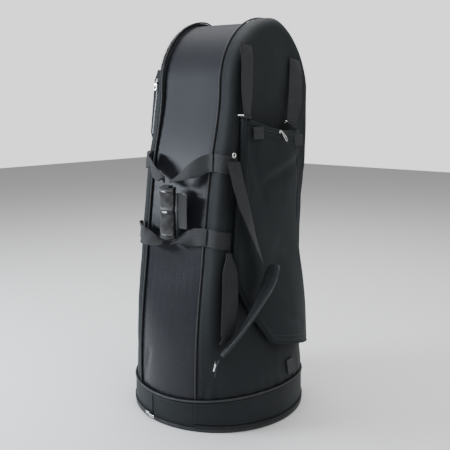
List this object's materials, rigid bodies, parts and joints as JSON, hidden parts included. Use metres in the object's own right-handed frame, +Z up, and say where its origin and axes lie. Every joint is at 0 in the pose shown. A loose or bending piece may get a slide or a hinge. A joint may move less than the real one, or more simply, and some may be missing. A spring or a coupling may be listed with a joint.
{
  "type": "padded carry case",
  "caption": "Tall arched soft padded carry case on a round drum base, with front pouch, side carry handle, shoulder strap and back zip pocket.",
  "frame": {"origin": "centre of the drum base's underside, on the floor", "axes": "+Z up, -Y towards the front with the pouch, -X towards the satin side with the carry handle"},
  "size_m": [0.421, 0.4309, 0.9093],
  "materials": {
    "satin_fabric": "coated satin weave, bluish black",
    "nylon_fabric": "matt nylon weave, black",
    "lining_fabric": "soft lining over foam",
    "foam_board": "stiff fibre board",
    "webbing": "ribbed webbing, dark grey",
    "piping": "corded piping and bound edges",
    "vinyl": "smooth glossy vinyl",
    "zip_coil": "nylon zip chain",
    "steel": "plated metal"
  },
  "bodies": {
    "case_shell": {"side_band": "satin_fabric", "side_band_padding": "lining_fabric", "front_shell": "nylon_fabric", "front_shell_padding": "lining_fabric", "back_shell": "nylon_fabric", "back_shell_padding": "lining_fabric", "front_seam_piping": "piping", "back_seam_piping": "piping", "drum_wall": "nylon_fabric", "lid_hinge_panel": "nylon_fabric", "rim_piping": "piping", "base_binding": "piping", "base_zip_chain": "zip_coil", "pouch_body": "nylon_fabric", "pouch_tab_left": "webbing", "pouch_tab_right": "webbing", "back_pocket_body": "nylon_fabric", "lower_tab": "webbing", "handle_patch_front_upper": "webbing", "handle_patch_front_lower": "webbing", "handle_patch_back_upper": "webbing", "handle_patch_back_lower": "webbing", "handle_arm_front_upper": "webbing", "handle_arm_front_lower": "webbing", "handle_arm_back_upper": "webbing", "handle_arm_back_lower": "webbing", "shoulder_ring_upper": "steel"},
    "base_lid": {"base_lid": "nylon_fabric", "base_lid_board": "foam_board", "base_lid_padding": "lining_fabric"},
    "base_zip_slider": {"base_zip_slider": "steel"},
    "base_zip_pull": {"base_zip_pull": "steel"},
    "pouch_mouth_flap": {"pouch_mouth_flap": "nylon_fabric"},
    "pouch_zip_slider": {"pouch_zip_slider": "steel"},
    "pouch_zip_pull": {"pouch_zip_pull": "steel"},
    "back_zip_slider": {"back_zip_slider": "steel"},
    "back_zip_pull": {"back_zip_pull": "steel"},
    "front_strap_left": {"front_strap_left": "webbing"},
    "front_strap_right": {"front_strap_right": "webbing"},
    "strap_ring_left": {"strap_ring_left": "steel"},
    "strap_ring_right": {"strap_ring_right": "steel"},
    "carry_grip": {"grip_wrap": "vinyl", "grip_webbing_core": "webbing"},
    "grip_flap": {"grip_flap": "vinyl"},
    "shoulder_strap": {"shoulder_webbing_upper": "webbing", "shoulder_pad": "nylon_fabric", "shoulder_webbing_tail": "webbing", "shoulder_webbing_return": "webbing"},
    "shoulder_adjuster": {"shoulder_adjuster": "steel"}
  },
  "joints": [
    {"name": "base_lid_hinge", "type": "hinge", "parent": "case_shell", "child": "base_lid", "pos_m": [-0.19429, -0.02731, 0], "axis": [-0.1392, 0.9903, 0], "range_deg": [0, 110]},
    {"name": "base_zip_travel", "type": "hinge", "parent": "case_shell", "child": "base_zip_slider", "pos_m": [0, 0, 0.0127], "axis": [0, 0, -1], "range_deg": [0, 318]},
    {"name": "base_pull_swing", "type": "hinge", "parent": "base_zip_slider", "child": "base_zip_pull", "pos_m": [-0.20802, 0.0391, 0.0127], "axis": [0, 0, -1], "range_deg": [0, 150]},
    {"name": "pouch_flap_hinge", "type": "hinge", "parent": "case_shell", "child": "pouch_mouth_flap", "pos_m": [-0.04, -0.1324, 0.66977], "axis": [-0.9848, 0, 0.1734], "range_deg": [0, 75]},
    {"name": "pouch_zip_travel", "type": "hinge", "parent": "case_shell", "child": "pouch_zip_slider", "pos_m": [0.06, -0.16639, 1.013], "axis": [0, 1, 0], "range_deg": [-4, 8]},
    {"name": "pouch_pull_swing", "type": "hinge", "parent": "pouch_zip_slider", "child": "pouch_zip_pull", "pos_m": [0.012, -0.17219, 0.65321], "axis": [-0.7121, 0, -0.7021], "range_deg": [0, 150]},
    {"name": "back_zip_travel", "type": "slide", "parent": "case_shell", "child": "back_zip_slider", "axis": [-0.1483, 0.0089, -0.9889], "range_m": [0, 0.118]},
    {"name": "back_pull_swing", "type": "hinge", "parent": "back_zip_slider", "child": "back_zip_pull", "pos_m": [-0.0847, 0.11731, 0.766], "axis": [0, 1, 0], "range_deg": [0, 110]},
    {"name": "front_strap_left_swing", "type": "hinge", "parent": "case_shell", "child": "front_strap_left", "pos_m": [-0.07, -0.134, 0.834], "axis": [-1, 0, 0], "range_deg": [0, 100]},
    {"name": "front_strap_right_swing", "type": "hinge", "parent": "case_shell", "child": "front_strap_right", "pos_m": [0.112, -0.134, 0.814], "axis": [-1, 0, 0], "range_deg": [0, 100]},
    {"name": "strap_ring_left_swing", "type": "hinge", "parent": "front_strap_left", "child": "strap_ring_left", "pos_m": [-0.08839, -0.15234, 0.68725], "axis": [0.983, 0.1014, -0.1531], "range_deg": [-8, 50]},
    {"name": "strap_ring_right_swing", "type": "hinge", "parent": "front_strap_right", "child": "strap_ring_right", "pos_m": [0.06697, -0.15878, 0.66941], "axis": [0.9082, -0.2497, -0.3358], "range_deg": [-40, 50]},
    {"name": "grip_lift", "type": "slide", "parent": "case_shell", "child": "carry_grip", "axis": [-1, 0, 0], "range_m": [0, 0.045]},
    {"name": "grip_flap_hinge", "type": "hinge", "parent": "carry_grip", "child": "grip_flap", "pos_m": [-0.167, -0.0222, 0.48], "axis": [0, 0, -1], "range_deg": [0, 90]},
    {"name": "shoulder_strap_swing", "type": "hinge", "parent": "case_shell", "child": "shoulder_strap", "pos_m": [-0.1365, -0.141, 0.594], "axis": [-0.115, 0, -0.9934], "range_deg": [0, 110]},
    {"name": "adjuster_travel", "type": "slide", "parent": "shoulder_strap", "child": "shoulder_adjuster", "axis": [-0.2118, 0.1835, -0.9599], "range_m": [-0.003, 0.008]}
  ]
}
